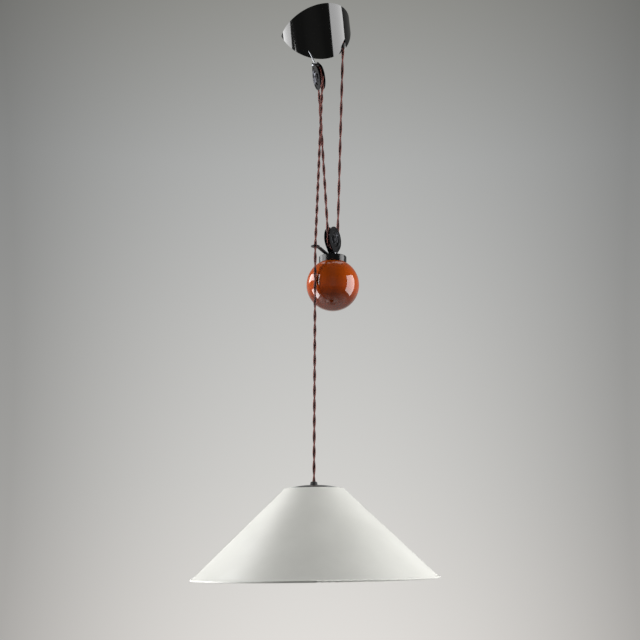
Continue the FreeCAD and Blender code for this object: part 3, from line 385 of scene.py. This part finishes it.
def spun(name, outline, middle, sides=64):
    """A ring: an outline of radius and height, turned round an upright line."""
    vertices = [(middle.x + r * math.cos(2 * math.pi * k / sides),
                 middle.y + r * math.sin(2 * math.pi * k / sides), middle.z + h)
                for k in range(sides) for r, h in outline]
    rows = len(outline)
    faces = [(k * rows + i, (k + 1) % sides * rows + i,
              (k + 1) % sides * rows + (i + 1) % rows, k * rows + (i + 1) % rows)
             for k in range(sides) for i in range(rows)]
    mesh = bpy.data.meshes.new(name)
    mesh.from_pydata(vertices, [], faces)
    mesh.polygons.foreach_set("use_smooth", [True] * len(faces))
    mesh.set_sharp_from_angle(angle=CREASE)
    return new_object(name, mesh)


print("edges over", round(math.degrees(CREASE)), "degrees stay sharp")

# %% Collar
COLLAR_FOOT, COLLAR_NECK, COLLAR_TOP = 0.0078, 0.0067, 0.0042    # radii
TUBE_CLEAR, FLEX_CLEAR = 0.0060, 0.0038                          # radii of the two bores
SHOULDER, CROWN = 0.0055, 0.0013                                 # height of the taper, and above it
STAND_OFF = 0.0002                                               # it clears the disc by this much
RIM_DROP, BORE_STEP = 0.0004, 0.0002                             # small heights inside the bore
CROWN_STEPS = 6

low, high = (Vector(corner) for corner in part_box("cord_grip"))
grip_foot = Vector(((low.x + high.x) / 2, (low.y + high.y) / 2, low.z + STAND_OFF))
crown = [(COLLAR_TOP + (COLLAR_NECK - COLLAR_TOP) * math.cos(a), SHOULDER + CROWN * math.sin(a))
         for a in (math.pi / 2 * i / CROWN_STEPS for i in range(CROWN_STEPS + 1))]
bore = [(FLEX_CLEAR, SHOULDER + CROWN - RIM_DROP), (FLEX_CLEAR, SHOULDER + BORE_STEP),
        (TUBE_CLEAR, SHOULDER)]
collar = spun("flex_collar", [(TUBE_CLEAR, 0.0), (COLLAR_FOOT, 0.0), *crown, *bore], grip_foot)
collar.data.materials.append(nitrile_rubber)
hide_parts("cord_grip", "grip_screw")
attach(collar, "shade")
print("collar stands", round((SHOULDER + CROWN) * 1000, 1), "mm high")

# %% [markdown]
# ## The flex
#
# The flex is two cotton covered cores twisted together, 6.6 mm over both. It could be drawn as one
# tube with a twisted bump, but the two cores make a wavy outline that the eye knows at once, so each
# core is a tube of its own, winding round the flex's line. The line is a smooth NURBS curve whose
# control points are those of the CAD model's route, with a few more where a pulled run has to look
# straight. It is cut where the parts move apart.

# %% The flex's line
ROUTE = {
    "shade": (-0.02448, -0.034, -1.0795),
    "guide": (-0.0221, -0.034, -0.5445),
    "upper_near": (-0.00622, -0.03559, -0.15388),
    "upper_corner_1": (-0.01271, -0.03559, -0.12877),
    "upper_corner_2": (-0.01874, -0.02177, -0.11581),
    "upper_corner_3": (-0.02228, -0.00223, -0.11672),
    "upper_corner_4": (-0.02126, 0.01159, -0.13098),
    "upper_far": (-0.01477, 0.01159, -0.1561),
    "lower_near": (0.00473, -0.00719, -0.49845),
    "lower_corner_1": (0.00473, -0.00719, -0.52439),
    "lower_corner_2": (0.01133, 0.00522, -0.53845),
    "lower_corner_3": (0.02067, 0.02278, -0.53845),
    "lower_corner_4": (0.02727, 0.03519, -0.52439),
    "lower_far": (0.02727, 0.03519, -0.49845),
    "tail_turn": (0.0418, -0.00237, -0.01995),
    "tail_strap": (0.00945, 0.01228, -0.01058),
    "tail_end": (-0.0133, 0.00845, -0.01719),
}


def on_run(first, second, distance):
    """A point on the straight run from one point of the route to the next, in metres along it."""
    start, stop = Vector(ROUTE[first]), Vector(ROUTE[second])
    return start + (stop - start).normalized() * distance


def smooth_line(name, points):
    """Points read from a NURBS curve that has these control points."""
    data = bpy.data.curves.new(name + "_line", "CURVE")
    data.dimensions = "3D"
    data.resolution_u = 40
    spline = data.splines.new("NURBS")
    spline.points.add(len(points) - 1)
    for spot, point in zip(spline.points, points):
        spot.co = (*point, 1.0)
    spline.order_u = 3
    spline.use_endpoint_u = True
    holder = new_object(name + "_line", data)
    bpy.context.view_layer.update()
    mesh = bpy.data.meshes.new_from_object(holder)
    line = [vertex.co.copy() for vertex in mesh.vertices]
    bpy.data.objects.remove(holder)
    bpy.data.meshes.remove(mesh)
    return line


def length_of(line):
    """The length of a line of points."""
    return sum((b - a).length for a, b in zip(line, line[1:]))


print("points on the flex's route:", len(ROUTE))

# %% [markdown]
# ## Walking along the line
#
# The line is walked in steps of 1.5 mm. At each step the walk keeps the way ahead, one direction
# across it, and how far the twist has turned. The direction across is only ever tilted by as much as
# the line bends, so it doesn't spin by itself, as the directions that a curve object works out may.

# %% Walk
STEP = 0.0015
Stand = namedtuple("Stand", "spot ahead across turn walked")


def even_steps(line):
    """The same line in even steps."""
    total = length_of(line)
    count = round(total / STEP)
    result, index, passed = [], 0, 0.0
    for i in range(count + 1):
        wanted = total * i / count
        while index < len(line) - 2 and passed + (line[index + 1] - line[index]).length < wanted:
            passed += (line[index + 1] - line[index]).length
            index += 1
        piece = line[index + 1] - line[index]
        share = min(1.0, (wanted - passed) / piece.length)
        result.append(line[index] + piece * share)
    return result


def walk_along(line, half_turn, turn, across):
    """Where the walk stands at each step, from the turn and the direction across at its start."""
    spots = even_steps(line)
    stands, walked = [], 0.0
    for i, spot in enumerate(spots):
        ahead = (spots[min(i + 1, len(spots) - 1)] - spots[max(i - 1, 0)]).normalized()
        across = (across - ahead * across.dot(ahead)).normalized()
        if i:
            step = (spot - spots[i - 1]).length
            walked += step
            turn += math.pi * step / half_turn
        stands.append(Stand(spot, ahead, across, turn, walked))
    return stands


print("steps of", STEP * 1000, "mm")

# %% [markdown]
# ## Winding two cores round the line
#
# Each core is 3.4 mm thick and soft, so the two press a little into each other and are 6.6 mm over
# both. At each step a ring of points is set round each core's middle, square to the way the core
# winds, and the rings are joined to a tube. A UV layer keeps how far along and how far round each
# point lies, for the braid. A screw modifier could wind a straight flex, but not one that bends.

# %% One core
FLEX_DIAMETER = 0.0066
CORE_RADIUS = 0.00172
CORE_OFFSET = FLEX_DIAMETER / 2 - CORE_RADIUS    # from the flex's line to a core's middle
RING = 12                                        # points round a core


def core_points(stands, core, half_turn):
    """One core's rings of points, and how far along and round the core each point lies."""
    pitch = math.pi / half_turn * CORE_OFFSET
    points, threads = [], []
    for spot, ahead, across, turn, walked in stands:
        spin = turn + math.pi * core
        out = across * math.cos(spin) + ahead.cross(across) * math.sin(spin)
        winding = (ahead + ahead.cross(out) * pitch).normalized()
        beside = winding.cross(out)
        for k in range(RING):
            angle = 2 * math.pi * k / RING
            points.append(spot + out * CORE_OFFSET
                          + (out * math.cos(angle) + beside * math.sin(angle)) * CORE_RADIUS)
            threads.append((walked, k / RING))
    return points, threads


def tube_faces(first, rings):
    """The faces between the rings of one tube, and one that closes each end."""
    faces = []
    for i in range(rings - 1):
        here, there = first + i * RING, first + (i + 1) * RING
        for k in range(RING):
            n = (k + 1) % RING
            faces.append((here + k, there + k, there + n, here + n))
    last = first + (rings - 1) * RING
    faces.append([first + k for k in range(RING)])
    faces.append([last + k for k in reversed(range(RING))])
    return faces


print("a core is", CORE_RADIUS * 2000, "mm thick")

# %% [markdown]
# ## Both cores in one mesh
#
# The second core starts half a turn after the first. The turn at the end of one stretch is handed to
# the next, so the twist runs on from stretch to stretch. The braid's pattern closes round a core, so
# a face that spans the seam counts its last corners as a little over one whole round.

# %% Two cores
SEAM_BEFORE, SEAM_AFTER = 0.7, 0.3      # shares of the way round that lie on each side of the seam


def map_threads(mesh, threads):
    """A UV layer: millimetres along the core, and the share of the way round it."""
    layer = mesh.uv_layers.new(name="thread")
    for polygon in mesh.polygons:
        places = [threads[mesh.loops[i].vertex_index] for i in polygon.loop_indices]
        spans_seam = any(share > SEAM_BEFORE for walked, share in places)
        for i, (walked, share) in zip(polygon.loop_indices, places):
            past_seam = 1.0 if spans_seam and share < SEAM_AFTER else 0.0
            layer.data[i].uv = (walked * 1000, share + past_seam)


def wind(name, line, half_turn, turn, across):
    """Two cores round a line. Returns the object, and the turn and direction at its end."""
    stands = walk_along(line, half_turn, turn, across)
    vertices, threads, faces = [], [], []
    for core in range(2):
        faces += tube_faces(len(vertices), len(stands))
        points, places = core_points(stands, core, half_turn)
        vertices += points
        threads += places
    mesh = bpy.data.meshes.new(name)
    mesh.from_pydata(vertices, [], faces)
    map_threads(mesh, threads)
    mesh.polygons.foreach_set("use_smooth", [True] * len(faces))
    mesh.update()
    return new_object(name, mesh), stands[-1].turn, stands[-1].across


print("two cores,", CORE_OFFSET * 2000, "mm from middle to middle")

# %% [markdown]
# ## Maroon cotton braid
#
# Each core is covered in a braid of maroon cotton. Cotton scatters light at its fuzzy edge, so it gets
# a sheen. The braid's threads cross at a slant, which two slanted waves draw: along a core, a crest of
# one or the other comes every 1.1 mm. That is about twice as coarse as the real braid, so that a close
# view shows it. The colour carries painted shade: it is darker in the grooves between the crests, and
# dark on the side of each core that faces the other, where the cores touch, which makes the twist show
# from far away.

# %% Cotton braid
WAVE_MM = 2.2                           # from crest to crest of one wave, along a core
WAVES_ROUND = 6                         # crests of one wave round a core
# Between these cosines the painted shade on the side where the cores touch goes from darkest to none.
SHADE_DARKEST_AT, SHADE_ENDS_AT = -0.4, 0.7        # cosines of the angle from the outermost line of a core
cotton_braid, tree, shader, place = new_material(
    "maroon_cotton_braid", Roughness=0.72, Sheen_Weight=0.5, Sheen_Roughness=0.4,
    Sheen_Tint=colour("#C98C86"))
thread_place = add(tree, "ShaderNodeUVMap", uv_map="thread").outputs[0]
split = add(tree, "ShaderNodeSeparateXYZ", {"Vector": thread_place})
round_turns = add(tree, "ShaderNodeMath", {0: split.outputs[1], 1: WAVES_ROUND * 2 * math.pi},
                  operation="MULTIPLY")
run_turns = add(tree, "ShaderNodeMath", {0: split.outputs[0], 1: 2 * math.pi / WAVE_MM},
                operation="MULTIPLY")
waves = []
for sign in ("ADD", "SUBTRACT"):
    slant = add(tree, "ShaderNodeMath", {0: run_turns.outputs[0], 1: round_turns.outputs[0]},
                operation=sign)
    waves.append(add(tree, "ShaderNodeMath", {0: slant.outputs[0]}, operation="SINE").outputs[0])
crossing = add(tree, "ShaderNodeMath", {0: waves[0], 1: waves[1]}, operation="MAXIMUM")
braid_bump = add(tree, "ShaderNodeBump",
                 {"Height": crossing.outputs[0], "Distance": 0.0001, "Strength": 0.7})
tree.links.new(braid_bump.outputs[0], shader.inputs["Normal"])
print("a crest every", WAVE_MM / 2, "mm")

# %% The cotton's colour, with painted shade
# Painted shade: the braid is darker in its grooves, between the crests of the waves, and darker on the
# side of each core that faces the other.
groove_shade = add(tree, "ShaderNodeMapRange",
                {"Value": crossing.outputs[0], "From Min": -0.2, "From Max": 1.0,
                 "To Min": 0.0, "To Max": 1.0})
core_angle = add(tree, "ShaderNodeMath", {0: split.outputs[1], 1: 2 * math.pi}, operation="MULTIPLY")
outward = add(tree, "ShaderNodeMath", {0: core_angle.outputs[0]}, operation="COSINE")
shade_between_cores = add(tree, "ShaderNodeMapRange",
            {"Value": outward.outputs[0], "From Min": SHADE_DARKEST_AT, "From Max": SHADE_ENDS_AT,
             "To Min": 0.1, "To Max": 1.0})
braid_painted_shade = add(tree, "ShaderNodeMath", {0: groove_shade.outputs[0], 1: shade_between_cores.outputs[0]},
           operation="MULTIPLY")
cloth = add(tree, "ShaderNodeValToRGB", {"Fac": braid_painted_shade.outputs[0]})
cloth.color_ramp.elements[0].color = colour("#200706")
cloth.color_ramp.elements[1].color = colour("#8A4034")
tree.links.new(cloth.outputs[0], shader.inputs["Base Color"])
print("made", cotton_braid.name)

# %% [markdown]
# ## Lay the six stretches
#
# From the lamp upwards: the run to the guide eye, the run to the upper pulley, the turn over its
# wheel, the run down to the lower pulley, the turn under its wheel, and the run into the ceiling
# cup. One long tube couldn't follow the parts when they move, so each stretch is a piece of its own.
# Each hides the solids that it stands for, and one that lies on a single part rides with that part.
# Measured on the photograph, a half turn of the twist takes 26 to 46 mm: it is tightest below the
# upper pulley.

# %% Where the stretches start and end
LEAVES = 0.010          # each wheel's turn ends this far along its straight
NEAR = 0.040            # where a pulled run starts to look straight, six diameters from its end
UNDER_CUP = 0.076       # the same for the last run, which starts high inside the cup
upper_in = on_run("upper_near", "upper_corner_1", LEAVES)
upper_out = on_run("upper_far", "upper_corner_4", LEAVES)
lower_in = on_run("lower_near", "lower_corner_1", LEAVES)
lower_out = on_run("lower_far", "lower_corner_4", LEAVES)
under_upper = on_run("upper_near", "guide", NEAR)
below_upper = on_run("upper_far", "lower_near", NEAR)
above_lower = on_run("lower_near", "upper_far", NEAR)
over_lower = on_run("lower_far", "tail_turn", NEAR)
under_cup = on_run("tail_turn", "lower_far", UNDER_CUP)
print("pulled runs look straight from", NEAR * 1000, "mm on")

# %% Stretches
# Each line gives a name, the points, the length of a half turn, the bodies at the ends, and the
# solids that the stretch stands for.
STRETCHES = [
    ("flex_to_lamp", ["shade", "guide"], 0.032, ("counterweight", "shade"),
     ["cord_end", "cord_lower_run"]),
    ("flex_to_upper_pulley", ["guide", under_upper, "upper_near", upper_in], 0.026,
     ("canopy", "counterweight"), ["cord_upper_run"]),
    ("flex_over_upper_wheel", [upper_in, "upper_corner_1", "upper_corner_2", "upper_corner_3",
                               "upper_corner_4", upper_out], 0.030,
     ("canopy",), ["cord_upper_turn"]),
    ("flex_to_lower_pulley", [upper_out, "upper_far", below_upper, above_lower, "lower_near",
                              lower_in], 0.035,
     ("canopy", "counterweight"), ["cord_middle_run"]),
    ("flex_under_lower_wheel", [lower_in, "lower_corner_1", "lower_corner_2", "lower_corner_3",
                                "lower_corner_4", lower_out], 0.038,
     ("counterweight",), ["cord_lower_turn"]),
    ("flex_to_ceiling", [lower_out, "lower_far", over_lower, under_cup, "tail_turn", "tail_strap",
                         "tail_end"], 0.046,
     ("canopy", "counterweight"), ["cord_canopy_run", "cord_tail"]),
]
turn, across = 0.3, Vector((1.0, 0.0, 0.0))     # how the cores lie where the flex starts
for name, spots, half_turn, bodies, solids in STRETCHES:
    points = [Vector(ROUTE[spot]) if isinstance(spot, str) else spot for spot in spots]
    line = smooth_line(name, points)
    flex, turn, across = wind(name, line, half_turn, turn, across)
    flex.data.materials.append(cotton_braid)
    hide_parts(*solids)
    if len(bodies) == 1:
        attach(flex, bodies[0])
    elif name == "flex_to_ceiling":
        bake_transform(flex)
    else:
        high, low = sorted((line[0], line[-1]), key=lambda spot: -spot.z)
        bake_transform(flex)
    print(name, "is", round(length_of(line) * 1000), "mm long")

# %% [markdown]
# ## The floor
#
# A pale paper floor lies below the lamp. It gets darker towards the side where the camera stands,
# like a room whose lamps all point at the wall: black enamel shows what is in front of it, and needs
# that. Lamps alone would leave the paper patchy, so it also glows a little in its own colour, but
# only for the eye, mirrors and clear glass. The rays that light the lamp don't get that glow.

# %% Floor
FLOOR_LEVEL, REACH = -2.0, 4.0
DARK_FROM, PALE_FROM = -0.9, 0.4        # along Y, from the camera's side to the far side
PAPER_GLOW = 0.45


def seen_or_mirrored(tree):
    """1 for a ray from the camera, a mirror or clear glass, 0 for a ray that lights a surface."""
    rays = add(tree, "ShaderNodeLightPath").outputs
    mirrored = add(tree, "ShaderNodeMath", {0: rays["Is Glossy Ray"], 1: rays["Is Transmission Ray"]},
                   operation="MAXIMUM")
    return add(tree, "ShaderNodeMath", {0: rays["Is Camera Ray"], 1: mirrored.outputs[0]},
               operation="MAXIMUM").outputs[0]


floor_mesh = bpy.data.meshes.new("floor")
corners = [(-REACH, -REACH, 0), (REACH, -REACH, 0), (REACH, REACH, 0), (-REACH, REACH, 0)]
floor_mesh.from_pydata(corners, [], [(0, 1, 2, 3)])
floor = new_object("floor", floor_mesh)
floor.location = (0, 0, FLOOR_LEVEL)
floor_paper, tree, shader, place = new_material("matt_studio_paper", Roughness=0.9)
floor_place = add(tree, "ShaderNodeSeparateXYZ", {"Vector": place})
towards_wall = add(tree, "ShaderNodeMapRange",
                   {"Value": floor_place.outputs["Y"], "From Min": DARK_FROM, "From Max": PALE_FROM,
                    "To Min": 0.0, "To Max": 1.0})
paper_shade = add(tree, "ShaderNodeValToRGB", {"Fac": towards_wall.outputs[0]})
paper_shade.color_ramp.elements[0].color = colour("#6E6E6C")
paper_shade.color_ramp.elements[1].color = colour("#C8C8C6")
tree.links.new(paper_shade.outputs[0], shader.inputs["Base Color"])
tree.links.new(paper_shade.outputs[0], shader.inputs["Emission Color"])
paper_glow = add(tree, "ShaderNodeMath", {0: seen_or_mirrored(tree), 1: PAPER_GLOW},
                 operation="MULTIPLY")
tree.links.new(paper_glow.outputs[0], shader.inputs["Emission Strength"])
floor_mesh.materials.append(floor_paper)
print("floor at", floor.location.z, "m")

# %% [markdown]
# ## The backdrop
#
# The backdrop could be a big bent sheet, but then it would stand in the way of the other views. So
# it is the world itself: a plain grey that is lighter low down, fades to the sides and is darker
# behind the camera. The eye and every mirroring surface see one and the same grey. Only the rays
# that light a surface get less of it from behind the camera, so that the shade keeps its soft dark
# middle.

# %% Backdrop
LOW_DOWN, HIGH_UP = -0.08, 0.5          # upward parts of the directions where the grey starts and ends
PICTURE_EDGE = 0.2818                   # sideways part of the direction at the picture's edge
EDGE_SHARE = 0.56                       # how bright the grey still is there
BEHIND, AHEAD = -0.1, 0.7               # forward parts of the directions between which it brightens
LIT_BEHIND, SEEN_BEHIND = 0.05, 0.4     # strength behind the camera, as light and as seen
world = bpy.data.worlds.new("studio")
bpy.context.scene.world = world
world.use_nodes = True
tree = world.node_tree
tree.nodes.clear()
way = add(tree, "ShaderNodeTexCoord").outputs["Generated"]
parts = add(tree, "ShaderNodeSeparateXYZ", {"Vector": way})
height = add(tree, "ShaderNodeMapRange",
             {"Value": parts.outputs["Z"], "From Min": LOW_DOWN, "From Max": HIGH_UP,
              "To Min": 0.0, "To Max": 1.0})
greys = add(tree, "ShaderNodeValToRGB", {"Fac": height.outputs[0]})
greys.color_ramp.elements[0].color = colour("#E0DDD9")
greys.color_ramp.elements[1].color = colour("#91918D")
for spot, hex_code in ((0.26, "#D0CFCC"), (0.52, "#C1C1BF"), (0.76, "#B0B1B0")):
    greys.color_ramp.elements.new(spot).color = colour(hex_code)
aside_squared = add(tree, "ShaderNodeMath", {0: parts.outputs["X"], 1: parts.outputs["X"]},
                    operation="MULTIPLY")
sides = add(tree, "ShaderNodeMapRange",
            {"Value": aside_squared.outputs[0], "From Min": 0.0, "From Max": PICTURE_EDGE ** 2,
             "To Min": 1.0, "To Max": EDGE_SHARE})
wall_behind = add(tree, "ShaderNodeMapRange",
                  {"Value": seen_or_mirrored(tree), "To Min": LIT_BEHIND, "To Max": SEEN_BEHIND})
depth = add(tree, "ShaderNodeMapRange",
            {"Value": parts.outputs["Y"], "From Min": BEHIND, "From Max": AHEAD,
             "To Min": wall_behind.outputs[0], "To Max": 1.0})
strength = add(tree, "ShaderNodeMath", {0: depth.outputs[0], 1: sides.outputs[0]},
               operation="MULTIPLY")
paper = add(tree, "ShaderNodeBackground", {"Color": greys.outputs[0], "Strength": strength.outputs[0]})
add(tree, "ShaderNodeOutputWorld", {"Surface": paper.outputs[0]})
print("the backdrop's grey has", len(greys.color_ramp.elements), "steps")

# %% [markdown]
# ## Light
#
# Tall soft boxes stand to the left and right. One large box in front would be simpler, but glossy
# round things show the shape of what lights them. The right box draws the wide upright band on the
# cup and the long highlight on the ball. On the left the work is shared: a small near box lights the
# cup's tip, a tall one draws the ball's left highlight, and a low one reaches the shade's left side.
# A weak one hangs above. The boxes that draw highlights were placed by following each highlight back
# from the lens over the round surface to where it must come from; the low one and the one above are
# simply given.

# %% Soft boxes


def soft_box(name, place, aim, wide, high, watts):
    """A rectangular area light that looks at a point."""
    data = bpy.data.lights.new(name, "AREA")
    data.shape = "RECTANGLE"
    data.size, data.size_y = wide, high
    data.energy = watts
    box = new_object(name, data)
    box.location = place
    box.rotation_euler = (Vector(aim) - Vector(place)).to_track_quat("-Z", "Y").to_euler()
    print(name, "gives", watts, "W")


soft_box("left_box", (-1.6, -0.55, -0.1), (0, -0.55, -0.1), wide=0.6, high=1.3, watts=20)
soft_box("left_back_box", (-0.97, 0.32, -0.14), (0, 0.32, -0.14), wide=0.86, high=0.42, watts=8.5)
soft_box("left_low_box", (-1.6, 0.22, -1.38), (0, 0.12, -1.1), wide=0.84, high=1.04, watts=31)
soft_box("right_box", (1.6, -0.17, -0.62), (0, -0.17, -0.62), wide=1.26, high=1.85, watts=50)
soft_box("top_box", (0.0, 0.9, 1.5), (0, 0, -0.8), wide=1.6, high=1.2, watts=6)

# %% [markdown]
# ## Settings
#
# The Standard view shows colours as they are written.

# %% Finish
bpy.context.scene.view_settings.view_transform = "Standard"
